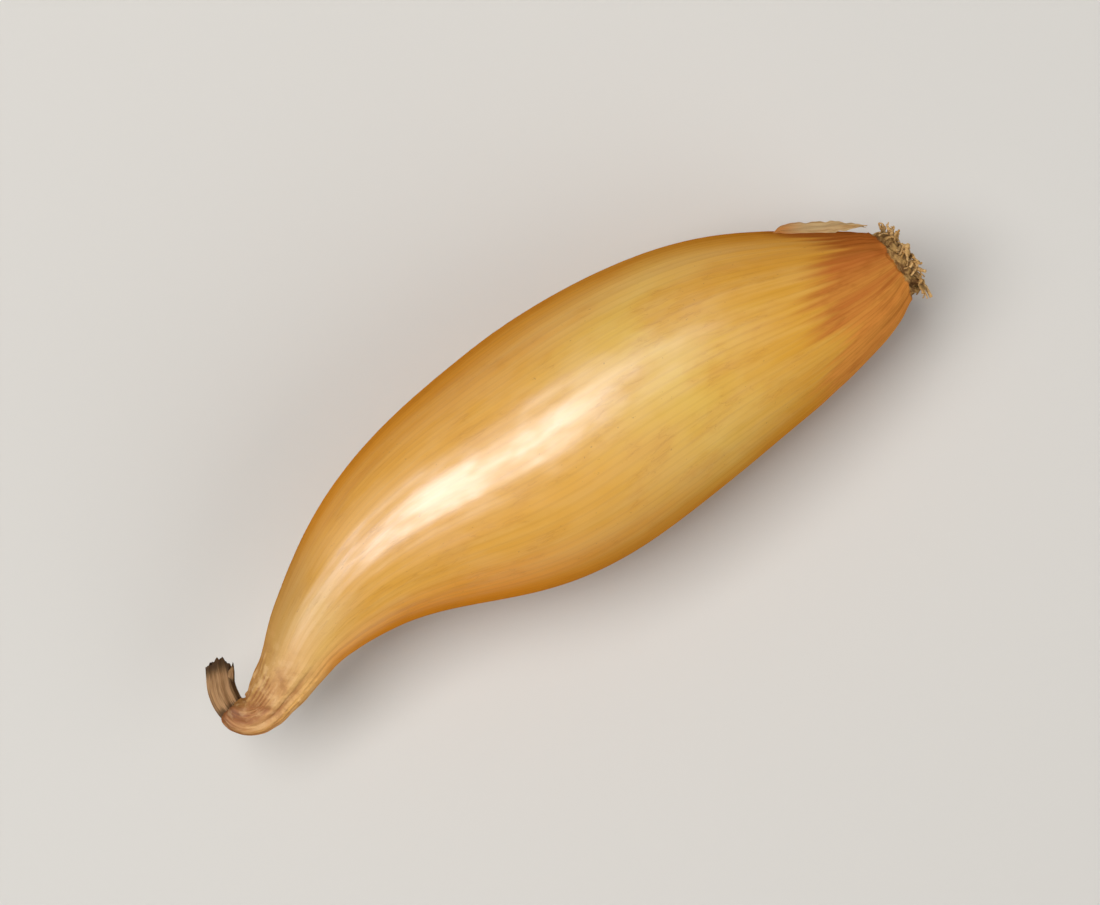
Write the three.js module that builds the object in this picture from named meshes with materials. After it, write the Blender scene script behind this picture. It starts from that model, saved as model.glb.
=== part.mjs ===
// One onion set: a small dried bulb lying on its belly, with its withered neck hooked to one side, the dry
// leaf ends that the neck runs out in, the dried roots on its root plate and a loose strip of skin beside the
// plate. Millimetres, +Z up. The root end points along +X and the neck hooks towards +Y.
import * as THREE from 'three';

// ---- driving dimensions

// Centreline of the bulb, [x, y, z], from the face of the root plate to the end of the hooked neck.
const CENTRELINE = [
  [-0.7, 0.85, 8.3],
  [-3.6, 0.98, 8.35],
  [-8.3, 1.65, 8.4],
  [-15.4, 3.25, 8.42],
  [-20, 3.72, 8.45],
  [-24.8, 3.9, 8.7],
  [-30.5, 3.95, 8.95],
  [-36.5, 4.8, 9.1],
  [-41.2, 5.2, 9.25],
  [-45, 4.95, 9.35],
  [-50.5, 3.5, 9.4],
  [-54.3, 1.7, 9.3],
  [-55.9, 1.08, 9.15],
  [-56.99, 0.73, 9.02],
  [-57.68, 0.67, 8.95],
  [-58.33, 0.91, 8.9],
  [-58.83, 1.43, 8.87],
  [-59.05, 2.1, 8.85],
];

// Half width of the bulb, [distance along the centreline, half width]: root plate, base, belly, neck, tip.
const HALF_WIDTHS = [
  [0, 0],
  [0, 1.7],
  [0.25, 2.35],
  [0.65, 2.65],
  [1.05, 2.75],
  [1.8, 3.3],
  [3, 4.05],
  [5.4, 5.2],
  [7.8, 6.12],
  [10.2, 6.98],
  [15, 8.28],
  [19.7, 8.98],
  [24.4, 9.38],
  [28.3, 9.45],
  [31.8, 9.1],
  [36.2, 8.1],
  [40.9, 6.65],
  [45.7, 4.95],
  [50.6, 3.3],
  [54.4, 2.25],
  [56.5, 1.83],
  [57.7, 1.6],
  [58.8, 1.4],
  [59.7, 1.2],
  [60.05, 1.05],
  [60.2, 0.6],
  [60.25, 0],
];
const BULB_SIDES = 56;
const RINGS_PER_POINT = 2;

const BODY_FLATNESS = 0.97; // height over width of a section at the belly
const NECK_FLATNESS = 0.66; // and at the tip of the neck, where the papery skins have collapsed
const NECK_START = 44; // distances along the centreline where the neck begins to flatten and has flattened
const NECK_END = 58;
const PLEATS = 9; // folds round the neck
const PLEAT_DEPTH = 0.06; // as a share of the half width

const GAP = 0.3; // air left between a loose piece and the bulb

const ROOT_COUNT = 20;
const ROOT_RADIUS = 0.2;
const ROOT_SIDES = 6;
const ROOT_STEPS = 8;
const ROOT_LENGTH = 0.7; // of the shortest; the longest is ROOT_LENGTH_SPREAD more
const ROOT_LENGTH_SPREAD = 0.5;
const LENGTH_STRIDE = 7; // places between neighbours in the run of lengths, so that neighbours differ
const ROOT_BENDS = [37, 46, 55, 64]; // degrees from the plate's axis, at four points of a root on the rim
const CENTRE_BEND = 0.5; // share of that bend which a root at the middle of the plate has
const ROOT_SPREAD = 0.6; // how much of its sideways reach a bent root keeps
const ROOT_RING = 2.2; // radius on the plate of the outermost root

// Dry leaf ends beyond the hooked neck: points of the centreline, half width and thickness.
const LEAF_PATH = [
  [-59.05, 2.55, 8.85],
  [-58.95, 3.4, 8.95],
  [-58.6, 4.5, 9],
  [-58, 5.7, 8.8],
];
const LEAF_HALF_WIDTH = 1.05;
const LEAF_THICKNESS = 0.5;
const SPIKE_PATH = [
  [-56.95, 3.7, 9.1],
  [-56.85, 4.2, 9.2],
  [-56.55, 4.8, 9.3],
];
const SPIKE_HALF_WIDTH = 0.22;
const SPIKE_THICKNESS = 0.35;
// Outline of a leaf end or a strip of skin, [share of its length, share of its half width].
const BLADE_OUTLINE = [
  [0, 0],
  [0.06, 0.72],
  [0.35, 1],
  [0.75, 0.9],
  [0.96, 0.5],
  [1, 0],
];
const BLADE_SIDES = 12;

// Loose strip of the outer skin beside the root plate, along the hooked side of the bulb.
const STRIP_FROM = 1.8; // distances along the centreline of the strip's two ends
const STRIP_TO = 6.4;
const STRIP_HALF_WIDTH = 0.4;
const STRIP_THICKNESS = 0.25;
const STRIP_POINTS = 4;

// ---- materials

const material = (color, roughness) => new THREE.MeshStandardMaterial({ color, roughness, metalness: 0 });
const GOLDEN_SKIN = material(0xdba35a, 0.35);
const DRY_ROOT = material(0x9a8462, 0.85);
const WITHERED_LEAF = material(0x6b4a35, 0.8);
const LOOSE_SKIN = material(0xd9bf94, 0.6);

// ---- shapes

const smoothCurve = (points) =>
  new THREE.CatmullRomCurve3(points.map((p) => new THREE.Vector3(...p)), false, 'centripetal');

// Place and directions of a curve at a distance along it: side is level, above is square to both.
function station(curve, distance) {
  const share = THREE.MathUtils.clamp(distance / curve.getLength(), 0, 1);
  const along = curve.getTangentAt(share);
  const side = new THREE.Vector3().crossVectors(along, new THREE.Vector3(0, 0, 1)).normalize();
  const above = new THREE.Vector3().crossVectors(side, along);
  return { place: curve.getPointAt(share), along, side, above };
}

// A lathe whose axis is bent along a curve. The profile holds [distance along the curve, half width] pairs
// from axis to axis. The section at a distance is flatness(distance) times as high as it is wide, and its
// half width is multiplied by folds(distance, angle).
function bentLathe(curve, profile, sides, flatness, folds = () => 1) {
  const outline = profile.map(([distance, half]) => new THREE.Vector2(half, distance));
  const geometry = new THREE.LatheGeometry(outline, sides);
  const position = geometry.getAttribute('position');
  const vertex = new THREE.Vector3();
  for (let i = 0; i < position.count; i += 1) {
    vertex.fromBufferAttribute(position, i);
    const distance = vertex.y;
    const scale = folds(distance, Math.atan2(vertex.x, vertex.z));
    const { place, side, above } = station(curve, distance);
    place.addScaledVector(side, vertex.x * scale);
    place.addScaledVector(above, vertex.z * scale * flatness(distance));
    position.setXYZ(i, place.x, place.y, place.z);
  }
  return geometry;
}

// Points of a smooth profile through the given ones, with the same number of steps between each pair.
function smoothProfile(points, stepsPerPoint) {
  const curve = smoothCurve(points.map(([distance, half]) => [distance, half, 0]));
  return curve.getPoints(stepsPerPoint * (points.length - 1)).map((p) => [p.x, Math.max(p.y, 0)]);
}

// A thin blade along a curve, pointed at both ends.
function blade(curve, halfWidth, thickness) {
  const length = curve.getLength();
  const outline = BLADE_OUTLINE.map(([distance, width]) => [distance * length, width * halfWidth]);
  const profile = smoothProfile(outline, RINGS_PER_POINT);
  return bentLathe(curve, profile, BLADE_SIDES, () => thickness / (2 * halfWidth));
}

// ---- pieces

const onion = new THREE.Group();
const centreline = smoothCurve(CENTRELINE);

function addPiece(name, geometry, skin) {
  const mesh = new THREE.Mesh(geometry, skin);
  mesh.name = name;
  onion.add(mesh);
  return mesh;
}

// The bulb grew as one: root plate, fleshy body, dry skin and neck. It rests on a small flat at the belly.
function bulbGeometry() {
  const neck = (distance) => THREE.MathUtils.smoothstep(distance, NECK_START, NECK_END);
  const flatness = (distance) => THREE.MathUtils.lerp(BODY_FLATNESS, NECK_FLATNESS, neck(distance));
  const folds = (distance, angle) => 1 + PLEAT_DEPTH * neck(distance) * Math.cos(PLEATS * angle);
  const profile = smoothProfile(HALF_WIDTHS, RINGS_PER_POINT);
  const geometry = bentLathe(centreline, profile, BULB_SIDES, flatness, folds);
  const position = geometry.getAttribute('position');
  for (let i = 0; i < position.count; i += 1) {
    position.setZ(i, Math.max(position.getZ(i), 0));
  }
  return geometry;
}
addPiece('bulb', bulbGeometry(), GOLDEN_SKIN);

// Dried roots, laid out over the plate in a sunflower spiral, each splayed out and bent over towards its end.
const plate = station(centreline, 0);
const GOLDEN_ANGLE = Math.PI * (3 - Math.sqrt(5));
function rootCurve(index) {
  const share = Math.sqrt((index + 0.5) / ROOT_COUNT);
  const turn = index * GOLDEN_ANGLE;
  const outward = plate.along.clone().negate();
  const radial = plate.side
    .clone()
    .multiplyScalar(Math.cos(turn))
    .addScaledVector(plate.above, Math.sin(turn));
  const length = ROOT_LENGTH + (ROOT_LENGTH_SPREAD * ((index * LENGTH_STRIDE) % ROOT_COUNT)) / ROOT_COUNT;
  const points = ROOT_BENDS.map((degrees, step) => {
    const bend = THREE.MathUtils.degToRad(degrees) * THREE.MathUtils.lerp(CENTRE_BEND, 1, share);
    const reach = (length * step) / (ROOT_BENDS.length - 1);
    return plate.place
      .clone()
      .addScaledVector(outward, GAP + ROOT_RADIUS + reach * Math.cos(bend))
      .addScaledVector(radial, ROOT_RING * share + ROOT_SPREAD * reach * Math.sin(bend));
  });
  return new THREE.CatmullRomCurve3(points, false, 'centripetal');
}
for (let index = 0; index < ROOT_COUNT; index += 1) {
  const section = new THREE.Shape(
    Array.from({ length: ROOT_SIDES }, (_, corner) => {
      const angle = (2 * Math.PI * corner) / ROOT_SIDES;
      return new THREE.Vector2(ROOT_RADIUS * Math.cos(angle), ROOT_RADIUS * Math.sin(angle));
    }),
  );
  const strand = new THREE.ExtrudeGeometry(section, { steps: ROOT_STEPS, extrudePath: rootCurve(index) });
  addPiece(`root_${String(index + 1).padStart(2, '0')}`, strand, DRY_ROOT);
}

// Dry leaf ends, folded over beyond the hook of the neck.
const leafEnd = blade(smoothCurve(LEAF_PATH), LEAF_HALF_WIDTH, LEAF_THICKNESS);
addPiece('withered_leaf', leafEnd, WITHERED_LEAF);
const leafSpike = blade(smoothCurve(SPIKE_PATH), SPIKE_HALF_WIDTH, SPIKE_THICKNESS);
addPiece('withered_leaf_spike', leafSpike, WITHERED_LEAF);

// Loose strip of skin that stands off the side of the bulb next to the root plate.
function stripPath() {
  const halfWidths = smoothProfile(HALF_WIDTHS, RINGS_PER_POINT);
  return Array.from({ length: STRIP_POINTS }, (_, point) => {
    const distance = THREE.MathUtils.lerp(STRIP_FROM, STRIP_TO, point / (STRIP_POINTS - 1));
    const beyond = halfWidths.findIndex(([ring]) => ring >= distance);
    const { place, side } = station(centreline, distance);
    return place.addScaledVector(side, halfWidths[beyond][1] + GAP + STRIP_HALF_WIDTH).toArray();
  });
}
const looseStrip = blade(smoothCurve(stripPath()), STRIP_HALF_WIDTH, STRIP_THICKNESS);
addPiece('loose_skin', looseStrip, LOOSE_SKIN);

// The whole onion is centred over the origin.
const box = new THREE.Box3().setFromObject(onion, true);
const middle = box.getCenter(new THREE.Vector3());
onion.position.set(-middle.x, -middle.y, -box.min.z);

export default onion;
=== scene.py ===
import math
import bpy
import numpy as np
from mathutils import Matrix, Vector


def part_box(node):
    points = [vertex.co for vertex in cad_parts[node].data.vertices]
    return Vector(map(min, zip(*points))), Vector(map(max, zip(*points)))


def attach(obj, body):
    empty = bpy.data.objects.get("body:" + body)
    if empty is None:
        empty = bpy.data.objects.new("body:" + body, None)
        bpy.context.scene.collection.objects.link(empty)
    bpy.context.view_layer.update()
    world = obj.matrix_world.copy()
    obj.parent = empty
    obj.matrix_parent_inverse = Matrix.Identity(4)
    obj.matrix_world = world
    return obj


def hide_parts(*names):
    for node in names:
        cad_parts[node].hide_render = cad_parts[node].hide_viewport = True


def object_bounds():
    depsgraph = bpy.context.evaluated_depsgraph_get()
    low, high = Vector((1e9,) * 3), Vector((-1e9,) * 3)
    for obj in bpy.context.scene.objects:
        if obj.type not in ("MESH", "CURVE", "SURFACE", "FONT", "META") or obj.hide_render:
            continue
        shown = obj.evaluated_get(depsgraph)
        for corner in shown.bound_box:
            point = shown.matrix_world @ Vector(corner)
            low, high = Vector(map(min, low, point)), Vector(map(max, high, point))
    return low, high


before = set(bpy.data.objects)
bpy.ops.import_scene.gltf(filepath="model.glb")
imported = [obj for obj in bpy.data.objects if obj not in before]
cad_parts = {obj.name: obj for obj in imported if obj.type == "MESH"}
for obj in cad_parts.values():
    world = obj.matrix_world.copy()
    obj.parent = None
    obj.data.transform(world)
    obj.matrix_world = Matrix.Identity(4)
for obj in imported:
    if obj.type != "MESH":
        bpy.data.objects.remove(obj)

cad_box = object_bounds()

# ---- camera
# The onion is looked at from straight above, through a long lens, with its root end up to the right.
# The picture is a little wider than the onion is long.
LENS = 85.0
SENSOR = 36.0
ROLL = math.radians(-35)
FIELD_OVER_LENGTH = 1.3  # width of the picture, in lengths of the onion

middle = (cad_box[0] + cad_box[1]) / 2
onion_length = cad_box[1].x - cad_box[0].x
camera_data = bpy.data.cameras.new("camera")
camera_data.lens = LENS
camera_data.sensor_width = SENSOR
camera_data.clip_start = 0.01
camera_data.clip_end = 10
camera = bpy.data.objects.new("camera", camera_data)
camera.location = middle + Vector((0, 0, onion_length * FIELD_OVER_LENGTH * LENS / SENSOR))
camera.rotation_euler = (0, 0, ROLL)
bpy.context.scene.collection.objects.link(camera)
bpy.context.scene.camera = camera

# ---- bulb
# Root plate, fleshy body, dry skins and withered neck, which grew as one. The outer skin is a thin, satin
# paper with fine veins. It has worn away round the root plate, and at the neck it has dried into pleats and
# bent over.
MM = 0.001

# Centreline in mm, [x, y, z], from the face of the root plate to the end of the hooked neck.
CENTRELINE = np.array([
    [-0.7, 0.85, 8.3], [-3.6, 0.98, 8.35], [-8.3, 1.65, 8.4], [-15.4, 3.25, 8.42], [-20, 3.72, 8.45],
    [-24.8, 3.9, 8.7], [-30.5, 3.95, 8.95], [-36.5, 4.8, 9.1], [-41.2, 5.2, 9.25], [-45, 4.95, 9.35],
    [-50.5, 3.5, 9.4], [-54.3, 1.7, 9.3], [-55.9, 1.08, 9.15], [-56.99, 0.73, 9.02], [-57.68, 0.67, 8.95],
    [-58.33, 0.91, 8.9], [-58.83, 1.43, 8.87], [-59.05, 2.1, 8.85],
])
# Distance along the centreline and half width there, in mm: root plate, base, belly, neck, tip.
HALF_WIDTHS = np.array([
    [0, 0], [0, 1.7], [0.25, 2.35], [0.65, 2.65], [1.05, 2.75], [1.8, 3.3], [3, 4.05], [5.4, 5.2],
    [7.8, 6.12], [10.2, 6.98], [15, 8.28], [19.7, 8.98], [24.4, 9.38], [28.3, 9.45], [31.8, 9.1], [36.2, 8.1],
    [40.9, 6.65], [45.7, 4.95], [50.6, 3.3], [54.4, 2.25], [56.5, 1.83], [57.7, 1.6], [58.8, 1.4],
    [59.7, 1.2], [60.05, 1.05], [60.2, 0.6], [60.25, 0],
])
BODY_FLATNESS = 0.97  # height over width of a section at the belly
NECK_FLATNESS = 0.66  # and at the tip of the neck
NECK_START = 44.0  # distances along the centreline where the neck begins to flatten and has flattened
NECK_END = 58.0
BULB_ROWS = 345
BULB_SIDES = 286
FINE_STEPS = 4001  # steps that a curve is worked out in
EASING = 2.5  # mm of the bell curve that eases the body, and how far it reaches
EASING_REACH = 8
ANY_PHASE = 6.3  # random angles and phases in radians are drawn from 0 to this
LEVEL = (1e3, 2e3)  # lengths in mm of waves that hardly change along the bulb

# Depths and heights of the relief, in mm.
SWELL = 0.04
RIB = 0.011
SKIN_EDGE = 0.04
GATHERS = 0.16
GATHER_GRAIN = 0.015
RIM = 0.14
PLEATS = 0.10
FINE_PLEATS = 0.13
FOLD = 0.13
CREASE = 0.22
TIP_CRUMPLE = 0.03
NECK_CRUMPLE = 0.035
MATTED_ROOTS = 0.12


def smooth_step(value, start, end):
    """0 before start, 1 after end, and 3t^2 - 2t^3 between them."""
    t = np.clip((value - start) / (end - start), 0, 1)
    return t * t * (3 - 2 * t)


def through(knots, values, at):
    """A cubic through the values at the knots. Its slope at a knot is that of the parabola through the knot
    and its two neighbours."""
    knots = np.asarray(knots, float)
    values = np.asarray(values, float).reshape(len(knots), -1)
    gap = np.diff(knots)[:, None]
    slope = np.diff(values, axis=0) / gap
    inner = (slope[:-1] * gap[1:] + slope[1:] * gap[:-1]) / (gap[1:] + gap[:-1])
    tangent = np.vstack([2 * slope[:1] - inner[:1], inner, 2 * slope[-1:] - inner[-1:]])
    k = np.clip(np.searchsorted(knots, at, "right") - 1, 0, len(knots) - 2)
    h = gap[k]
    t = (at - knots[k])[:, None] / h
    return ((1 + 2 * t) * (1 - t) ** 2 * values[k] + t * (1 - t) ** 2 * h * tangent[k]
            + t * t * (3 - 2 * t) * values[k + 1] - t * t * (1 - t) * h * tangent[k + 1])


def chord_lengths(points):
    """Running length of the straight lines between points, from 0."""
    return np.concatenate([[0], np.cumsum(np.linalg.norm(np.diff(points, axis=0), axis=1))])


def unit(vectors):
    """Vectors of length 1."""
    return vectors / np.maximum(np.linalg.norm(vectors, axis=-1, keepdims=True), 1e-9)


def fair(values, at):
    """Values at even steps of a length, eased over the body of the bulb so that no knot shows: each becomes
    the mean of its neighbours, weighted by a bell curve. The two ends keep their values."""
    step = at[1] - at[0]
    count = round(EASING_REACH / step)
    bell = np.exp(-0.5 * (np.arange(-count, count + 1) * step / EASING) ** 2)
    held = np.pad(values, ((count, count), (0, 0)), "edge")
    eased = np.stack([np.convolve(column, bell / bell.sum(), "valid") for column in held.T], axis=1)
    share = smooth_step(at, 4, 10) * smooth_step(at, 53, 46)
    return values + (eased - values) * share[:, None]


line_chords = chord_lengths(CENTRELINE)
line_at = np.linspace(0, line_chords[-1], FINE_STEPS)
line_points = fair(through(line_chords, CENTRELINE, line_at), line_at)
line_along = np.gradient(line_points, axis=0)
line_length = chord_lengths(line_points)
line_length = line_length * HALF_WIDTHS[-1, 0] / line_length[-1]


def on_line(values, distance):
    """Vectors kept along the centreline, at distances along it."""
    flat = np.ravel(distance)
    found = np.stack([np.interp(flat, line_length, column) for column in values.T], axis=1)
    return found.reshape(np.shape(distance) + (3,))


def station(distance):
    """Place on the centreline at distances along it, and three directions there: along, level side, above."""
    along = unit(on_line(line_along, distance))
    side = unit(np.cross(along, [0, 0, 1.0]))
    return on_line(line_points, distance), along, side, np.cross(side, along)


def ripples(angle, distance, rounds, lengths, seed, count=14):
    """A sum of waves of even strength. Each goes a whole number of times round, drawn from rounds, and has a
    length along, in mm, drawn from lengths. So the sum closes on itself, and mostly lies from -1 to 1."""
    rng = np.random.default_rng(seed)
    total = 0
    for _ in range(count):
        turns = rng.integers(rounds[0], rounds[1] + 1) * rng.choice([-1, 1])
        along = 2 * math.pi * distance / rng.uniform(*lengths)
        total = total + np.cos(turns * angle + along + rng.uniform(0, ANY_PHASE))
    return total / math.sqrt(count)


def rounded(wave):
    """The size of a wave without its sign, rounded where it turns back at 0."""
    return np.sqrt(wave ** 2 + 0.03)


def grid_normals(points):
    """Unit normals of a closed grid [row, side]: the cross product of its two directions at each point."""
    down = np.gradient(points, axis=0)
    wrapped = np.concatenate([points[:, -1:], points, points[:, :1]], axis=1)
    return unit(np.cross(wrapped[:, 2:] - wrapped[:, :-2], down))


def with_poles(grid):
    """Values [tube, row, side, k] in the order of the vertices of add_tubes: for each tube the mean of its
    first row, all its rows, and the mean of its last row."""
    tubes, _, _, k = grid.shape
    return np.concatenate([grid[:, :1].mean(2), grid.reshape(tubes, -1, k), grid[:, -1:].mean(2)], axis=1)


def add_mesh(name, vertices, faces):
    """A smooth mesh at the origin from vertices in mm."""
    mesh = bpy.data.meshes.new(name)
    mesh.from_pydata((np.asarray(vertices) * MM).tolist(), [], faces)
    mesh.polygons.foreach_set("use_smooth", np.ones(len(mesh.polygons), bool))
    piece = bpy.data.objects.new(name, mesh)
    bpy.context.scene.collection.objects.link(piece)
    return piece


def add_tubes(name, points):
    """Closed tubes from points in mm [tube, row, side, 3]. Each end is closed with a fan to the middle of its
    row."""
    tubes, rows, sides = points.shape[:3]
    ring = np.arange(sides)
    after = (ring + 1) % sides
    row = 1 + np.arange(rows - 1)[:, None] * sides
    quads = np.stack([row + ring, row + after, row + sides + after, row + sides + ring], axis=2)
    quads = quads.reshape(1, -1, 4)
    last = 1 + (rows - 1) * sides
    first_fan = np.stack([0 * ring, 1 + after, 1 + ring], axis=1)
    last_fan = np.stack([0 * ring + last + sides, last + ring, last + after], axis=1)
    step = np.arange(tubes)[:, None, None] * (rows * sides + 2)
    fans = np.concatenate([first_fan, last_fan])[None] + step
    return add_mesh(name, with_poles(points).reshape(-1, 3),
                    (quads + step).reshape(-1, 4).tolist() + fans.reshape(-1, 3).tolist())


def add_values(piece, name, grid):
    """Keeps a number or a vector for each point of a piece's tubes, under a name that a material reads."""
    kind, field = ("FLOAT", "value") if grid.shape[3] == 1 else ("FLOAT_VECTOR", "vector")
    attribute = piece.data.attributes.new(name, kind, "POINT")
    attribute.data.foreach_set(field, with_poles(grid).astype(np.float32).ravel())


def finish_piece(piece, material, node):
    """Gives a piece its material and hands it to the frame in place of a CAD node."""
    piece.data.materials.append(material)
    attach(piece, "root")
    if node:
        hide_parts(node)


# Rows of the bulb run from the middle of the plate's face to the end of the neck, closer at both ends.
profile_length = chord_lengths(HALF_WIDTHS)
profile_at = np.linspace(0, profile_length[-1], FINE_STEPS)
profile = fair(through(profile_length, HALF_WIDTHS, profile_at), profile_at)
closeness = 1 + 2.6 * smooth_step(profile[:, 0], 13, 8) + 1.8 * smooth_step(profile[:, 0], 46, 54)
row_share = np.concatenate([[0], np.cumsum((closeness[1:] + closeness[:-1]) / 2)])
rows = np.interp(np.linspace(0, 1, BULB_ROWS + 2)[1:-1], row_share / row_share[-1], profile_at)
distance = np.interp(rows, profile_at, profile[:, 0])[:, None]
distance = np.clip(distance, 0, HALF_WIDTHS[-1, 0])
half = np.interp(rows, profile_at, np.maximum(profile[:, 1], 0))[:, None]
angle = (np.arange(BULB_SIDES) * 2 * math.pi / BULB_SIDES)[None, :]

place, _, side, above = station(distance)
neck = smooth_step(distance, NECK_START, NECK_END)
flatness = BODY_FLATNESS + (NECK_FLATNESS - BODY_FLATNESS) * neck
skin = (place + side * (half * np.sin(angle))[..., None]
        + above * (half * flatness * np.cos(angle))[..., None])
normal = grid_normals(skin)

# The outer skin ends in an uneven line round the root end, further up the bulb away from the hooked side.
edge = 7.3 - 1.1 * np.sin(angle) + 0.9 * ripples(angle, 0, (2, 5), LEVEL, 11)
edge = edge + 0.7 * ripples(angle, 0, (6, 17), LEVEL, 12)
edge = edge + 0.6 * ripples(angle, 0, (20, 55), LEVEL, 13)
past_edge = distance - edge
off_plate = smooth_step(distance, 0.75, 1.5)

body = smooth_step(distance, 5, 16) * smooth_step(distance, 56, 44)
relief = SWELL * ripples(angle, distance, (2, 5), (60, 300), 1) * body
relief = relief + RIB * ripples(angle, distance, (15, 40), (60, 400), 2) * smooth_step(distance, 3, 12)
relief = relief - SKIN_EDGE * smooth_step(past_edge, 0.9, -0.9)
# uneven pleats that gather the skins into the root plate, and the rim where they end round it
gather = rounded(np.sin(7 * angle + 2.1 * ripples(angle, distance, (2, 6), (14, 60), 4)))
gather_depth = 0.65 + 0.35 * ripples(angle, distance, (2, 9), (8, 30), 14)
gathering = smooth_step(distance, 6.5, 1.6) * off_plate
relief = relief + GATHERS * (gather - 0.6) * gather_depth * gathering
relief = relief + GATHER_GRAIN * ripples(angle, distance, (18, 50), (3, 20), 5) * gathering
past_rim = distance - (1.15 + 0.16 * ripples(angle, 0, (3, 16), LEVEL, 15))
rim = smooth_step(past_rim, -0.1, 0.1) * smooth_step(past_rim, 0.9, 0) - 0.6
round_plate = smooth_step(half, 1.2, 2.4) * smooth_step(distance, 2.4, 1.2)
relief = relief + RIM * rim * round_plate
# a few soft pleats of the neck, and fine ones that fan out where it bends
pleat = 1 - rounded(np.sin(5 * angle + 1.6 * ripples(angle, distance, (1, 3), (12, 36), 6)))
fine_pleat = 1 - rounded(np.sin(15 * angle + 2.4 * ripples(angle, distance, (1, 4), (9, 26), 16)))
bent = smooth_step(distance, 52, 57) * smooth_step(distance, 60, 58.6)
inner_side = smooth_step(np.sin(angle), -0.35, 0.4)
fanned = smooth_step(distance, 53, 55.5) * smooth_step(distance, 59, 57.8) * (0.15 + 0.85 * inner_side)
fanned = fanned * smooth_step(ripples(angle, distance, (2, 6), (3, 9), 17), -0.8, 0.5)
relief = relief + PLEATS * (pleat - 0.36) * bent + FINE_PLEATS * (fine_pleat - 0.36) * fanned
# a rounded fold with a dent beside it along the outside of the bend, and a soft crease across its top
fold = np.exp(-((np.sin(angle) + 0.84) / 0.10) ** 2)
dent = np.exp(-((np.sin(angle) + 0.56) / 0.10) ** 2)
folding = smooth_step(distance, 51.5, 55.5) * smooth_step(distance, 60, 58)
relief = relief + FOLD * (fold - dent) * folding
crease = np.exp(-((np.sin(angle) - 0.02 - 0.66 * (distance - 57.4)) / 0.24) ** 2) * (np.cos(angle) > 0)
crease = crease * smooth_step(distance, 56.6, 57.3) * smooth_step(distance, 58.7, 58)
relief = relief - CREASE * crease
tip_waves = ripples(angle, distance, (3, 12), (0.8, 2.5), 7)
neck_waves = ripples(angle, distance, (1, 5), (1.6, 5), 18)
relief = relief + TIP_CRUMPLE * tip_waves * smooth_step(distance, 56, 59)
relief = relief + NECK_CRUMPLE * neck_waves * smooth_step(distance, 51.5, 56)
# the plate's face is rough with matted root ends
matted = ripples(angle, distance * 6, (4, 14), (3, 9), 8)
relief = relief + MATTED_ROOTS * matted * (1 - off_plate) * smooth_step(half, 0.3, 1.5)
skin = skin + normal * relief[..., None]

node_low, node_high = (np.array(corner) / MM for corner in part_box("bulb"))
PLACE = ((node_low + node_high) - (skin.min((0, 1)) + skin.max((0, 1)))) / 2
PLACE[2] = 0
skin = skin + PLACE
skin[..., 2] = np.maximum(skin[..., 2], 0)

bulb = add_tubes("golden_bulb", skin[None])


def whole_grid(values):
    """A value for each point of the bulb's grid, as one tube."""
    return np.broadcast_to(values, skin.shape[:2])[None, ..., None]


# Each point keeps the cosine and sine of its angle and its distance from the root plate in cm.
skin_grain = np.stack(np.broadcast_arrays(np.cos(angle), np.sin(angle), distance / 10), axis=2)
add_values(bulb, "grain", skin_grain[None])
add_values(bulb, "worn", whole_grid(past_edge))
# painted shade for the hollows of the neck's pleats, the dent beside the fold and the crease
furrows = smooth_step(pleat, 0.3, 0.0) * bent * 0.5 + smooth_step(fine_pleat, 0.34, 0.0) * fanned
furrows = np.clip(furrows + 0.45 * dent * folding + 0.9 * crease, 0, 1)
add_values(bulb, "furrow", whole_grid(furrows))
add_values(bulb, "fold", whole_grid(fold * folding))
# painted shade for the valleys of the gathers
add_values(bulb, "gather", whole_grid(smooth_step(gather, 0.5, 0.17) * gather_depth * gathering))
add_values(bulb, "plate", whole_grid(1 - off_plate))


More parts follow.
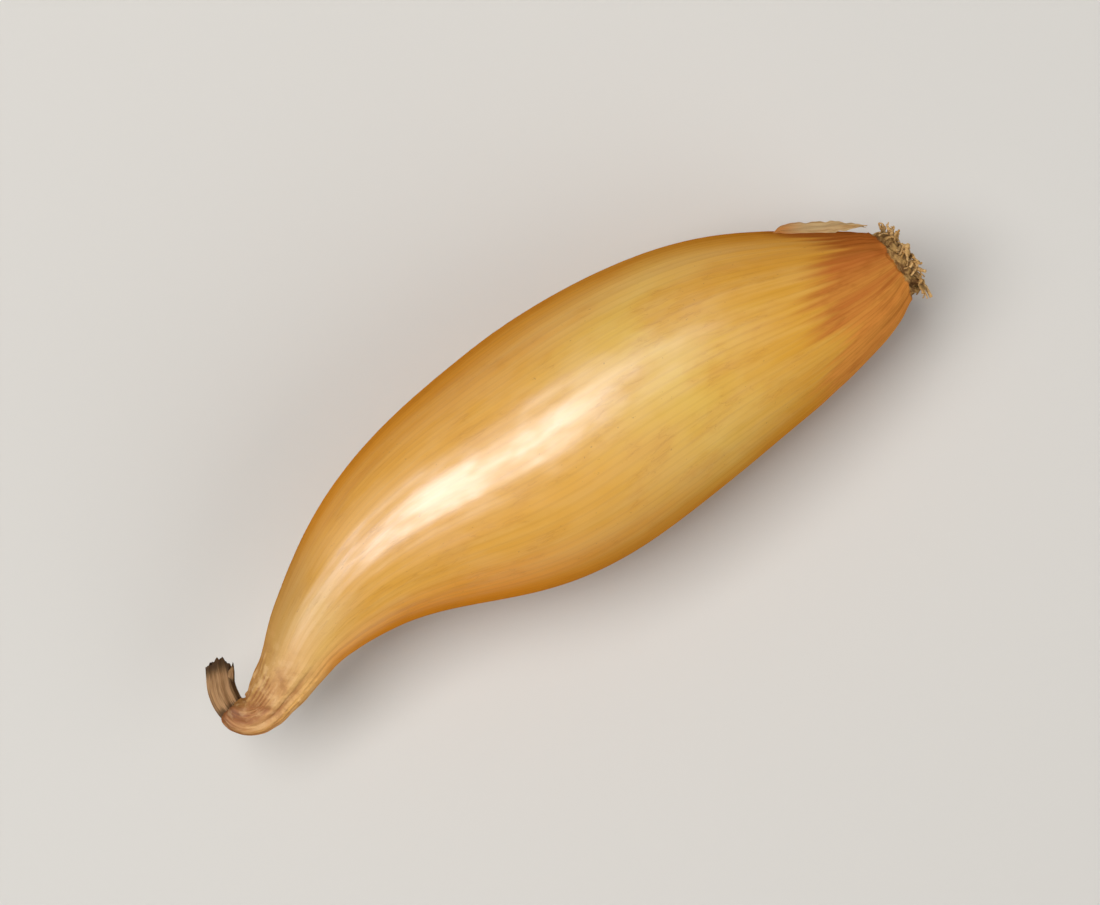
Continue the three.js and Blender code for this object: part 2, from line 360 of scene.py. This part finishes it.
class Wire:
    """An output socket in a material. Sums, differences, products and quotients of wires and numbers add Math
    nodes, and node() adds any other node."""

    def __init__(self, tree, socket=None):
        self.tree = tree
        self.socket = socket

    def node(self, kind, settings=None, values=None, out=0):
        """Adds a node of a type, sets its properties and then its inputs, and gives one of its outputs."""
        made = self.tree.nodes.new(kind)
        for name, value in (settings or {}).items():
            setattr(made, name, value)
        for name, value in (values or {}).items():
            if isinstance(value, Wire):
                self.tree.links.new(value.socket, made.inputs[name])
            else:
                made.inputs[name].default_value = value
        return Wire(self.tree, made.outputs[out]) if made.outputs else None

    def output(self, name):
        """Another output of the node that this wire comes from."""
        return Wire(self.tree, self.socket.node.outputs[name])

    def math(self, operation, first, second=0.0):
        """A Math node on wires or numbers."""
        return self.node("ShaderNodeMath", {"operation": operation}, {0: first, 1: second})

    def __add__(self, other):
        return self.math("ADD", self, other)

    def __radd__(self, other):
        return self.math("ADD", other, self)

    def __sub__(self, other):
        return self.math("SUBTRACT", self, other)

    def __rsub__(self, other):
        return self.math("SUBTRACT", other, self)

    def __mul__(self, other):
        return self.math("MULTIPLY", self, other)

    def __rmul__(self, other):
        return self.math("MULTIPLY", other, self)

    def __truediv__(self, other):
        return self.math("DIVIDE", self, other)

    def between(self, low, high):
        """0 at low, 1 at high, and smooth between them."""
        return self.node("ShaderNodeMapRange", {"interpolation_type": "SMOOTHSTEP"},
                         {"Value": self, "From Min": low, "From Max": high})

    def mix(self, first, second):
        """The first colour where this wire is 0 and the second where it is 1."""
        return self.node("ShaderNodeMix", {"data_type": "RGBA"},
                         {0: self, 6: first if isinstance(first, Wire) else (*first, 1),
                          7: second if isinstance(second, Wire) else (*second, 1)}, out=2)

    def ramp(self, stops):
        """Colours at values of this wire, blended between them. The values lie from 0 to 1."""
        made = self.node("ShaderNodeValToRGB", None, {0: self})
        elements = made.socket.node.color_ramp.elements
        for _ in stops[2:]:
            elements.new(0.5)
        for element, (position, colour) in zip(elements, stops):
            element.position = position
            element.color = (*colour, 1)
        return made

    def stretched(self, x, y, z):
        """This vector times (x, y, z)."""
        return self.node("ShaderNodeVectorMath", {"operation": "MULTIPLY"}, {0: self, 1: (x, y, z)})

    def noise(self, scale=1.0, detail=2.0, roughness=0.5):
        """Noise from 0 to 1 at this vector."""
        return self.node("ShaderNodeTexNoise", None,
                         {"Vector": self, "Scale": scale, "Detail": detail, "Roughness": roughness})

    def value(self, name):
        """The number that each point of the piece keeps under a name."""
        return self.node("ShaderNodeAttribute", {"attribute_name": name}, out="Fac")

    def vector(self, name):
        """The vector that each point of the piece keeps under a name."""
        return self.node("ShaderNodeAttribute", {"attribute_name": name}, out="Vector")


def new_material(name):
    """An empty material, and a wire to build its nodes with."""
    made = bpy.data.materials.new(name)
    made.use_nodes = True
    made.node_tree.nodes.clear()
    return made, Wire(made.node_tree)


def set_surface(wire, colour, roughness, height, **uniform):
    """A surface of varying colour and roughness, with a bump from a height in mm and plain values for the
    rest."""
    bump = wire.node("ShaderNodeBump", None, {"Strength": 1.0, "Distance": MM, "Height": height})
    values = {name.replace("_", " "): value for name, value in uniform.items()}
    values.update({"Base Color": colour, "Roughness": roughness, "Normal": bump})
    shader = wire.node("ShaderNodeBsdfPrincipled", None, values)
    wire.node("ShaderNodeOutputMaterial", None, {"Surface": shader})


# Colour of the outer skin along the bulb, in cm from the root plate.
SKIN_ALONG = (
    (0.4, (0.62, 0.29, 0.03)), (1.2, (0.65, 0.325, 0.03)), (1.9, (0.70, 0.44, 0.075)),
    (2.7, (0.69, 0.36, 0.05)), (3.8, (0.69, 0.34, 0.04)), (4.6, (0.68, 0.34, 0.04)),
    (5.0, (0.71, 0.42, 0.12)), (5.4, (0.73, 0.43, 0.16)), (5.65, (0.67, 0.365, 0.145)),
    (5.8, (0.42, 0.18, 0.075)), (5.91, (0.24, 0.09, 0.04)),
)
SKIN_ALONG_END = 6.5
PINK_TAN = (0.72, 0.43, 0.12)
SIDE_SHADE_ORANGE = (0.55, 0.185, 0.015)
FLANK_SHADE_ORANGE = (0.80, 0.25, 0.008)
NECK_SHADE = (0.36, 0.19, 0.05)
VEIN_BROWN = (0.45, 0.20, 0.035)
SHADED_VEIN = (0.30, 0.095, 0.012)
SPECK_BROWN = (0.30, 0.13, 0.03)
FURROW_SHADE = (0.33, 0.125, 0.045)
FOLD_HIGHLIGHT = (0.85, 0.46, 0.12)
NECK_PALE = (0.82, 0.54, 0.26)
DEEP_GOLD = (0.60, 0.27, 0.025)
BARE_ORANGE = (0.58, 0.235, 0.045)
BARE_LIGHT = (0.72, 0.29, 0.055)
BARE_RED = (0.49, 0.145, 0.03)
BARE_DARK = (0.33, 0.09, 0.014)
PLATE_BROWN = (0.16, 0.08, 0.03)
PLATE_PALE = (0.44, 0.265, 0.095)

golden_skin, w = new_material("golden_skin")
grain = w.vector("grain")
worn = w.value("worn")
furrow = w.value("furrow")
up = w.node("ShaderNodeSeparateXYZ", None, {0: grain})
across = up.output("Y")
run = up.output("Z")
turn = w.math("ARCTAN2", across, up)

broad = grain.stretched(1.6, 1.6, 0.5).noise(1.0, 2.0)
drift = grain.stretched(3, 3, 0.5).noise(1.0, 2.0)
streak = grain.stretched(9, 9, 0.45).noise(1.0, 3.0, 0.6)
fibre = grain.stretched(48, 48, 1.1).noise(1.0, 3.0, 0.6)
thread = grain.stretched(130, 130, 2.2).noise(1.0, 2.0, 0.6)
broad_vein = w.math("SINE", turn * 41.0 + drift * 7.0)
fine_vein = w.math("SINE", turn * 97.0 + drift * 12.0)
vein_line = broad_vein.between(0.6, 1.0) * streak.between(0.3, 0.7) * 0.2 + fine_vein.between(0.3, 1.0) * 0.3
blotch = grain.stretched(4, 4, 2.2).noise(1.0, 4.0, 0.6)
crinkle = w.math("ABSOLUTE", grain.stretched(11, 11, 2.4).noise(1.0, 3.0, 0.6) - 0.5).between(0.02, 0.0)
crinkle = crinkle * blotch.between(0.5, 0.6)

skin_stops = [(at / SKIN_ALONG_END, tone) for at, tone in SKIN_ALONG]
colour = ((run + (broad - 0.5) * 1.2) / SKIN_ALONG_END).ramp(skin_stops)
on_body = run.between(5.2, 4.3)
colour = (streak.between(0.45, 0.75) * (0.1 + on_body * 0.25)).mix(colour, PINK_TAN)
colour = (blotch.between(0.45, 0.7) * on_body * 0.4).mix(colour, DEEP_GOLD)
# painted shade: the sides turn a darker orange, less so underneath and on the neck
side_shade_share = (up + (streak - 0.5) * 0.5 - across.between(0.2, 1.0) * 0.1).between(0.92, -0.1)
side_shade_share = side_shade_share * (1.0 - run.between(4.6, 5.8) * 0.75) * (1.0 - up.between(-0.3, -0.9) * 0.6)
colour = (side_shade_share * (0.65 + blotch * 0.4)).mix(colour, SIDE_SHADE_ORANGE)
# painted shade in a warm orange along the body's flank away from the hook
flank_shade = across.between(-0.45, -0.95) * run.between(2.7, 3.7) * run.between(5.5, 5.1)
colour = (flank_shade * 0.55).mix(colour, FLANK_SHADE_ORANGE)
# painted shade darkens the neck's flank on the hooked side
inner_flank = (across + (streak - 0.5) * 0.4).between(0.1, 0.65) * run.between(4.4, 5.0)
colour = (inner_flank * 0.5).mix(colour, NECK_SHADE)
# the veins are darker where the sides carry the painted shade
vein = side_shade_share.mix(VEIN_BROWN, SHADED_VEIN)
colour = (vein_line * (0.1 + on_body * 0.35)).mix(colour, vein)
colour = (fibre.between(0.45, 0.8) * 0.14).mix(colour, vein)
specks = grain.stretched(26, 26, 26).noise(1.0, 2.0, 0.7).between(0.70, 0.76)
colour = (specks * 0.5).mix(colour, SPECK_BROWN)
# painted shade darkens the fine creases
colour = (crinkle * 0.2).mix(colour, VEIN_BROWN)
# painted highlight along the ridge of the fold
colour = (w.value("fold") * 0.6).mix(colour, FOLD_HIGHLIGHT)
# painted shade in the furrows
colour = (furrow * 0.75).mix(colour, FURROW_SHADE)

# the skins of the neck have dried unevenly and are finely crumpled, with pale patches on the crumples and
# painted shade in their hollows
withered = run.between(5.1, 5.6)
crumple = grain.stretched(2.2, 2.2, 11).noise(1.0, 4.0, 0.6)
pale_share = withered * (1.0 - side_shade_share * 0.75) * (1.0 - run.between(5.7, 5.88) * 0.5)
colour = (crumple.between(0.48, 0.66) * pale_share * 0.55).mix(colour, NECK_PALE)
colour = (crumple.between(0.48, 0.34) * withered * 0.4).mix(colour, FURROW_SHADE)

red_streak = grain.stretched(7, 7, 0.9).noise(1.0, 3.0, 0.55)
mottle = grain.stretched(7, 7, 5.0).noise(1.0, 3.0, 0.6)
inner = (red_streak.between(0.40, 0.66) * 0.8).mix(BARE_ORANGE, BARE_RED)
inner = (across.between(-0.15, -0.6) * 0.6).mix(inner, BARE_LIGHT)
inner = (across.between(-0.1, 0.3) * 0.6).mix(inner, BARE_RED)
inner = (mottle.between(0.48, 0.7) * 0.3).mix(inner, BARE_DARK)
# darker on the hooked side: deeper orange skin there, with the painted shadow of the loose strip
inner = (across.between(0.3, 0.75) * 0.8).mix(inner, BARE_DARK)
inner = ((vein_line + fibre.between(0.5, 0.8) * 0.4) * 0.6).mix(inner, BARE_DARK)
# painted shade in the valleys of the gathers
inner = (w.value("gather") * 0.6).mix(inner, BARE_DARK)
bare = (worn + (streak - 0.5) * 2.4 + (fibre - 0.5) * 1.6 + (blotch - 0.5) * 3.0).between(2.1, -1.4)
colour = bare.mix(colour, inner)

crumbs = w.node("ShaderNodeTexCoord", out="Object").noise(1700.0, 3.0, 0.65)
plate = w.value("plate") + (fibre - 0.5) * 0.9 + (streak - 0.5) * 0.5 + (crumbs - 0.5) * 0.4
plate = plate.between(0.35, 0.65)
colour = plate.mix(colour, crumbs.between(0.42, 0.62).mix(PLATE_BROWN, PLATE_PALE))

roughness = 0.46 + (fibre - 0.5) * 0.12 + run.between(4.8, 5.8) * 0.2 + bare * 0.12 + plate * 0.3
dimple = grain.stretched(4, 4, 4).noise(1.0, 1.0)
height = broad_vein * 0.004 + fine_vein * 0.002 + (fibre - 0.5) * 0.01 + (thread - 0.5) * 0.004
height = height + (dimple - 0.5) * 0.05 + (streak - 0.5) * 0.02 + (crumple - 0.5) * withered * 0.3
height = height - crinkle * 0.012 + (mottle - 0.5) * bare * 0.06 + (crumbs - 0.5) * plate * 0.3
satin = 0.5 + grain.stretched(3, 3, 1.4).noise(1.0, 3.0, 0.6).between(0.35, 0.6) * 0.5
coat = up.between(0.3, 0.88) * (1.0 - run.between(4.7, 5.6) * 0.95) * (0.4 + run.between(0.6, 1.8) * 0.6)
coat = coat * (1.0 - bare) * (1.0 - plate) * (1.0 - inner_flank * 0.5) * satin
set_surface(w, colour, roughness, height, Coat_Weight=coat, Coat_Roughness=0.42, Coat_IOR=1.75,
            Specular_IOR_Level=0.0)
finish_piece(bulb, golden_skin, "bulb")

# ---- roots
# Dried roots on the root plate, cut short and curled over it. They are wiry, grey-brown strands that grew out
# of the plate, with a mat of fine rootlets between them.
ROOT_COUNT = 20
ROOT_RADIUS = 0.2
ROOT_FOOT = 0.5  # mm of a root that is sunk in the plate
ROOT_ROWS = 22
ROOT_SIDES = 10
ROOT_LENGTH = 0.6  # mm out of the plate of the shortest; the longest is ROOT_LENGTH_SPREAD more
ROOT_LENGTH_SPREAD = 0.8
LENGTH_STRIDE = 7  # places between neighbours in the run of lengths, so that neighbours differ
RING_RADIUS = 1.9  # mm from the plate's middle to the outermost root
GOLDEN_ANGLE = math.pi * (3 - math.sqrt(5))

plate_place, plate_along, plate_side, plate_above = (v[0] for v in station(np.array([0.0])))
plate_place = plate_place + PLACE


def from_axis(turn):
    """Directions square to the plate's axis, at angles round it from its level side."""
    return np.cos(turn)[..., None] * plate_side + np.sin(turn)[..., None] * plate_above


def strands(start, heading, leans, lengths, radii, sides, wiggle, seed):
    """Points [strand, row, side] of thin tubes in mm that grow out of the plate. A strand starts at a radius
    and an angle on the plate, leans from the plate's axis towards a heading by an angle that changes evenly
    from the first to the second of leans, and has radii [strand, row]. Small waves of the height wiggle
    bend it."""
    rng = np.random.default_rng(seed)
    count, steps = radii.shape
    share = np.linspace(0, 1, steps)[None, :]
    lean = leans[0][:, None] * (1 - share) + leans[1][:, None] * share
    turn = heading[:, None] + 0.9 * share * rng.normal(0, 1, (count, 1))
    course = np.cos(lean)[..., None] * -plate_along + np.sin(lean)[..., None] * from_axis(turn)
    path = np.cumsum(course * (lengths / (steps - 1))[:, None, None], axis=1)
    foot = plate_place + plate_along * ROOT_FOOT + start[0][:, None] * from_axis(start[1])
    path = path - path[:, :1] + foot[:, None]
    phase = rng.uniform(0, ANY_PHASE, (count, 1, 3))
    pace = rng.uniform(4, 11, (count, 1, 3))
    path = path + wiggle * np.sin(pace * share[..., None] + phase) * share[..., None]
    along = unit(np.gradient(path, axis=1))
    across = np.cross(-plate_along, from_axis(heading))
    first = unit(np.cross(along, across[:, None]))
    second = np.cross(along, first)
    around = np.arange(sides) * 2 * math.pi / sides
    ring = first[:, :, None] * np.cos(around)[:, None] + second[:, :, None] * np.sin(around)[:, None]
    return path[:, :, None] + ring * radii[:, :, None, None]


index = np.arange(ROOT_COUNT)
ring_share = np.sqrt((index + 0.5) / ROOT_COUNT)
root_turn = index * GOLDEN_ANGLE
length_rank = (index * LENGTH_STRIDE) % ROOT_COUNT
root_length = ROOT_FOOT + ROOT_LENGTH + ROOT_LENGTH_SPREAD * length_rank / ROOT_COUNT
root_share = np.linspace(0, 1, ROOT_ROWS)[None, :]
rng = np.random.default_rng(31)
root_radii = ROOT_RADIUS * rng.uniform(0.7, 1.15, (ROOT_COUNT, 1)) * (1.1 - 0.45 * root_share)
root_radii = root_radii * (1 + 0.1 * np.sin(17 * root_share + rng.uniform(0, ANY_PHASE, (ROOT_COUNT, 1))))
root_leans = (np.radians(10 + 30 * ring_share), np.radians(80 + 20 * ring_share))
root_points = strands((RING_RADIUS * ring_share, root_turn), root_turn, root_leans, root_length, root_radii,
                      ROOT_SIDES, wiggle=0.1, seed=32)

MAT_COUNT = 320
MAT_ROWS = 12
MAT_SIDES = 5
MAT_RADIUS = 2.25  # mm from the plate's middle to the outermost rootlet
rng = np.random.default_rng(33)
mat_radius = MAT_RADIUS * np.sqrt(rng.uniform(0.02, 1, MAT_COUNT))
mat_turn = rng.uniform(0, ANY_PHASE, MAT_COUNT)
mat_share = np.linspace(0, 1, MAT_ROWS)[None, :]
mat_radii = 0.05 + 0.09 * rng.uniform(0, 1, (MAT_COUNT, 1)) ** 2 * (1 - 0.4 * mat_share)
mat_heading = mat_turn + rng.normal(math.pi / 2, 1.0, MAT_COUNT)
mat_leans = (np.radians(rng.uniform(0, 40, MAT_COUNT)), np.radians(rng.uniform(80, 170, MAT_COUNT)))
mat_length = ROOT_FOOT + rng.uniform(0.4, 1.3, MAT_COUNT)
mat_points = strands((mat_radius, mat_turn), mat_heading, mat_leans, mat_length, mat_radii, MAT_SIDES,
                     wiggle=0.12, seed=34)

ROOT_BROWN = (0.44, 0.235, 0.065)
ROOT_PALE = (0.66, 0.42, 0.175)
ROOT_DARK = (0.06, 0.03, 0.012)


def add_strands(name, points, tones, node):
    """Tubes that keep a tone for each strand, 0 for the darkest, and the share of the way from its foot."""
    piece = add_tubes(name, points)
    reach = np.linspace(0, 1, points.shape[1])[None, :, None]
    for kept, values in (("tone", tones[:, None, None]), ("reach", reach)):
        add_values(piece, kept, np.broadcast_to(values, points.shape[:3])[..., None])
    finish_piece(piece, dry_root, node)


dry_root, w = new_material("dry_root")
spot = w.node("ShaderNodeTexCoord", out="Object")
grit = spot.noise(6000.0, 3.0, 0.6)
pale = w.value("tone") * 0.75 + spot.noise(1100.0, 2.0).between(0.35, 0.6) * 0.35
colour = pale.mix(ROOT_BROWN, ROOT_PALE)
# painted shade darkens each strand towards its foot, deep in the mat
colour = ((1.0 - w.value("reach").between(0.25, 0.75)) * 0.7).mix(colour, ROOT_DARK)
colour = (grit.between(0.5, 0.7) * 0.55).mix(colour, ROOT_DARK)
set_surface(w, colour, 0.72 + (grit - 0.5) * 0.2, (grit - 0.5) * 0.03, Specular_IOR_Level=0.1)

root_tones = rng.uniform(0, 1, ROOT_COUNT)
for number, points in enumerate(root_points, 1):
    add_strands(f"dry_root_{number:02d}", points[None], root_tones[number - 1:number], f"root_{number:02d}")
add_strands("rootlet_mat", mat_points, rng.uniform(0, 1, MAT_COUNT) ** 1.2, None)

# ---- withered leaf ends
# What is left of the leaves beyond the hooked neck: a thin, dry, dark blade folded over, with ridges along it
# and a torn end, and a small pointed shred at its side. They grew out of the neck.
LEAF_LINE = np.array([
    [-58.98, 1.5, 8.8], [-59.0, 2.5, 8.95], [-58.78, 3.5, 9.05], [-58.34, 4.45, 9.0], [-57.88, 5.45, 8.75],
])
SPIKE_LINE = np.array([[-57.95, 3.6, 8.8], [-57.5, 4.1, 9.06], [-57.2, 4.35, 9.16], [-56.95, 4.65, 9.2]])


def blade(line, half_widths, thickness, rows, sides, curl, ridge, ragged):
    """Points [row, side] of a thin closed blade in mm along a line. Across it runs from -1 to 1. The blade is
    bent down at its sides by curl, has ridges along it of the height ridge, and ends unevenly by the length
    ragged."""
    share = np.linspace(0, 1, rows)[:, None]
    around = (np.arange(sides) * 2 * math.pi / sides)[None, :]
    across = np.cos(around) * np.ones_like(share)
    chords = chord_lengths(line)
    torn = ragged * (0.4 * np.cos(4 * across + 1) + 0.3 * np.cos(13 * across) + 0.2 * np.cos(29 * across + 2))
    torn = torn - 0.5 * np.abs(across) ** 4
    at = share * chords[-1] + torn * share ** 3
    place = through(chords, line, np.ravel(at)).reshape(rows, sides, 3)
    ahead = through(chords, line, np.ravel(at) + 0.01).reshape(rows, sides, 3)
    along = unit(ahead - place)
    wide = unit(np.cross([0, 0, 1.0], along))
    top = np.cross(along, wide)
    half = through(np.linspace(0, chords[-1], len(half_widths)), half_widths, share[:, 0] * chords[-1])
    lift = -curl * across ** 2 + ridge * (np.abs(np.sin(4.4 * across + 0.7 + share)) - 0.5)
    lift = lift + 0.4 * ridge * np.sin(17 * across + 3 * share)
    lift = lift + np.sin(around) * thickness / 2 * (1 - 0.3 * share)
    return place + wide * (half * across)[..., None] + top * lift[..., None]


def add_blade(name, points):
    """A blade from points [row, side], which keep their place on it: from -1 to 1 across and 0 to 1 along."""
    piece = add_tubes(name, points[None])
    rows, sides = points.shape[:2]
    across = np.cos(np.arange(sides) * 2 * math.pi / sides)[None, :]
    blade_grain = np.stack(np.broadcast_arrays(across, 0.0, np.linspace(0, 1, rows)[:, None]), axis=2)
    add_values(piece, "grain", blade_grain[None])
    return piece


leaf_points = blade(LEAF_LINE, [1.0, 1.06, 1.04, 0.99, 0.92], thickness=0.22, rows=60, sides=64,
                    curl=0.28, ridge=0.13, ragged=0.3)
spike_points = blade(SPIKE_LINE, [0.3, 0.27, 0.2, 0.04], thickness=0.2, rows=24, sides=16,
                     curl=0.05, ridge=0.03, ragged=0.0)
leaf = add_blade("withered_leaf_end", leaf_points + PLACE)
spike = add_blade("withered_leaf_shred", spike_points + PLACE)

LEAF_BROWN = (0.27, 0.14, 0.055)
LEAF_PINK = (0.52, 0.30, 0.14)
LEAF_DARK = (0.07, 0.035, 0.012)

withered_leaf, w = new_material("withered_leaf")
grain = w.vector("grain")
across = w.node("ShaderNodeSeparateXYZ", None, {0: grain})
run = across.output("Z")
stripe = grain.stretched(5, 5, 1.4).noise(1.0, 3.0, 0.6)
fibre = grain.stretched(22, 22, 3).noise(1.0, 3.0, 0.6)
colour = (stripe.between(0.40, 0.58) * (1.0 - run * 0.6)).mix(LEAF_BROWN, LEAF_PINK)
colour = (fibre.between(0.5, 0.75) * 0.45).mix(colour, LEAF_DARK)
# painted shade along one edge of the blade
shaded_edge = (across + (stripe - 0.5) * 0.6).between(-0.4, -0.85) * 0.9
colour = shaded_edge.mix(colour, LEAF_DARK)
colour = ((run + (stripe - 0.5) * 0.2).between(0.26, 0.13) * 0.75).mix(colour, LEAF_DARK)
colour = (run + (fibre - 0.5) * 0.3).between(0.68, 0.92).mix(colour, LEAF_DARK)
set_surface(w, colour, 0.7 + (fibre - 0.5) * 0.2, (fibre - 0.5) * 0.08 + (stripe - 0.5) * 0.1,
            Specular_IOR_Level=0.1)
finish_piece(leaf, withered_leaf, "withered_leaf")
finish_piece(spike, withered_leaf, "withered_leaf_spike")

# ---- loose strip of skin
# A narrow shred of the outer skin that has come away beside the root plate, on the side that the neck hooks
# to. It is thin, pale and dry, and still joined to the skin at its far end.
STRIP_ROWS = 80
STRIP_SIDES = 32
STRIP_FROM = 8.6  # distance along the centreline of the joined end, and length towards the plate
STRIP_LENGTH = 7.3
STRIP_TURN = math.radians(74)  # from straight up to the hooked side
STRIP_TILT = math.radians(55)  # its face is turned this far up from facing outward
strip_share = np.linspace(0, 1, STRIP_ROWS)
strip_distance = STRIP_FROM - STRIP_LENGTH * strip_share
bulb_half_width = np.interp(strip_distance, HALF_WIDTHS[1:, 0], HALF_WIDTHS[1:, 1])
strip_place, _, strip_side, strip_above = station(strip_distance)
strip_turn = STRIP_TURN + 0.05 * strip_share
outward = strip_side * np.sin(strip_turn)[:, None] + strip_above * np.cos(strip_turn)[:, None]
lift = 0.15 - 0.35 * smooth_step(strip_share, 0.16, 0) + 0.45 * strip_share ** 1.6
lift = lift + 0.05 * np.sin(9 * strip_share)
strip_line = strip_place + outward * (bulb_half_width + lift)[:, None]
strip_forward = unit(np.gradient(strip_line, axis=0))
tilted = outward * math.cos(STRIP_TILT) + strip_above * math.sin(STRIP_TILT)
strip_wide = unit(np.cross(strip_forward, tilted))
strip_top = np.cross(strip_forward, strip_wide)
around = np.arange(STRIP_SIDES) * 2 * math.pi / STRIP_SIDES
strip_across = np.cos(around)[None, :]
# half width from a point at the joined end through the broad middle to a torn end, uneven along both edges
strip_half = 0.56 * smooth_step(strip_share, -0.02, 0.3) * smooth_step(strip_share, 1.25, 0.5)
strip_half = strip_half + 0.04 * np.sin(11 * strip_share) * smooth_step(strip_share, 0, 0.2)
frayed = 0.05 * np.sin(31 * strip_share + 1)[:, None] * strip_across
frayed = frayed + 0.03 * np.sin(57 * strip_share)[:, None]
strip_half = strip_half[:, None] + frayed * smooth_step(strip_share, 0.1, 0.4)[:, None]
strip_lift = 0.10 * strip_across ** 2 + 0.05 * np.sin(5 * strip_across + 6 * strip_share[:, None])
strip_lift = strip_lift + 0.02 * np.sin(around)[None, :]
strip_points = (strip_line[:, None] + strip_wide[:, None] * (strip_half * strip_across)[..., None]
                + strip_top[:, None] * strip_lift[..., None]) + PLACE
torn = 0.25 * np.cos(5 * strip_across + 1) + 0.12 * np.cos(17 * strip_across)
strip_points = strip_points + strip_forward[:, None] * (torn * strip_share[:, None] ** 4)[..., None]
strip = add_blade("loose_skin_strip", strip_points)

STRIP_PALE = (0.56, 0.38, 0.18)
STRIP_TAN = (0.42, 0.24, 0.085)
STRIP_ROOT = (0.48, 0.18, 0.03)
loose_skin, w = new_material("loose_skin")
grain = w.vector("grain")
across = w.node("ShaderNodeSeparateXYZ", None, {0: grain})
run = across.output("Z")
fibre = grain.stretched(7, 7, 3).noise(1.0, 3.0, 0.6)
thread = grain.stretched(26, 26, 4).noise(1.0, 2.0, 0.6)
colour = fibre.between(0.42, 0.62).mix(STRIP_PALE, STRIP_TAN)
colour = (thread.between(0.5, 0.75) * 0.5).mix(colour, STRIP_TAN)
colour = (run + (fibre - 0.5) * 0.4).between(0.42, 0.08).mix(colour, STRIP_ROOT)
set_surface(w, colour, 0.55 + (fibre - 0.5) * 0.2, (fibre - 0.5) * 0.04 + (thread - 0.5) * 0.03,
            Specular_IOR_Level=0.2)
finish_piece(strip, loose_skin, "loose_skin")

# ---- floor and light
# A plain pale tabletop that runs out into a backdrop of nearly its own colour. A wide soft window of light
# is up to the left, with a brighter, cooler glare in it that only gloss shows. A weak fill and a dim, even
# room light the rest.
FLOOR_GREY = (0.67, 0.655, 0.63)
BACKDROP = (0.70, 0.675, 0.64)
FLOOR_REACH = 3000  # mm from the middle to its edges
FLOOR_TOP = -0.02  # mm, a hair under the bulb
FLOOR_FADES = (0.055, 0.3)  # metres from the middle where the backdrop begins to show and is all that shows
corners = [[x * FLOOR_REACH, y * FLOOR_REACH, FLOOR_TOP] for x, y in ((-1, -1), (1, -1), (1, 1), (-1, 1))]
floor = add_mesh("table", corners, [[0, 1, 2, 3]])


def looked_at(wire):
    """1 for what the camera, a gloss or a clear thing looks at, and 0 for what lights a surface."""
    path = wire.node("ShaderNodeLightPath", out="Is Camera Ray")
    return wire.math("MAXIMUM", path, wire.math("MAXIMUM", path.output("Is Glossy Ray"),
                                                path.output("Is Transmission Ray")))


table_top, w = new_material("table_top")
away = w.node("ShaderNodeTexCoord", out="Object")
away = w.node("ShaderNodeVectorMath", {"operation": "LENGTH"}, {0: away}, out="Value")
backdrop = away.between(*FLOOR_FADES) * looked_at(w)
top = w.node("ShaderNodeBsdfDiffuse", None, {"Color": (*FLOOR_GREY, 1)})
shown = w.node("ShaderNodeEmission", None, {"Color": (*BACKDROP, 1), "Strength": 1.0})
mixed = w.node("ShaderNodeMixShader", None, {0: backdrop, 1: top, 2: shown})
w.node("ShaderNodeOutputMaterial", None, {"Surface": mixed})
floor.data.materials.append(table_top)


def add_lamp(name, direction, away, size, power, colour):
    """A soft rectangular lamp that faces the onion from a direction, with its first side along the onion.
    Distance and size are in metres."""
    data = bpy.data.lights.new(name, "AREA")
    data.shape = "RECTANGLE"
    data.size, data.size_y = size
    data.energy = power
    data.color = colour
    lamp = bpy.data.objects.new(name, data)
    toward = Vector(direction).normalized()
    across = toward.cross((1, 0, 0)).normalized()
    lamp.location = middle + toward * away
    lamp.rotation_euler = Matrix((across.cross(toward), across, toward)).transposed().to_euler()
    bpy.context.scene.collection.objects.link(lamp)
    return lamp


DAYLIGHT = (1.0, 0.985, 0.96)
SKY = (0.70, 0.84, 1.0)
TO_WINDOW = (-0.27, 0.28, 0.91)
TO_GLARE = (-0.29, 0.28, 0.91)
TO_FILL = (0.55, -0.72, 0.52)
window = add_lamp("window", TO_WINDOW, 0.6, (0.56, 0.32), 3.28, DAYLIGHT)
window.visible_glossy = False
glare = add_lamp("window_glare", TO_GLARE, 0.6, (0.66, 0.30), 9.9, SKY)
glare.visible_diffuse = False
fill = add_lamp("fill", TO_FILL, 1.0, (1.0, 1.0), 4.2, DAYLIGHT)
fill.visible_glossy = False

world = bpy.data.worlds.new("room")
world.use_nodes = True
world.node_tree.nodes.clear()
w = Wire(world.node_tree)
room = w.node("ShaderNodeBackground", None, {"Color": (1.0, 0.99, 0.97, 1), "Strength": 0.19})
shown = w.node("ShaderNodeBackground", None, {"Color": (*BACKDROP, 1), "Strength": 1.0})
mixed = w.node("ShaderNodeMixShader", None, {0: looked_at(w), 1: room, 2: shown})
w.node("ShaderNodeOutputWorld", None, {"Surface": mixed})
bpy.context.scene.world = world
bpy.context.scene.view_settings.view_transform = "Standard"
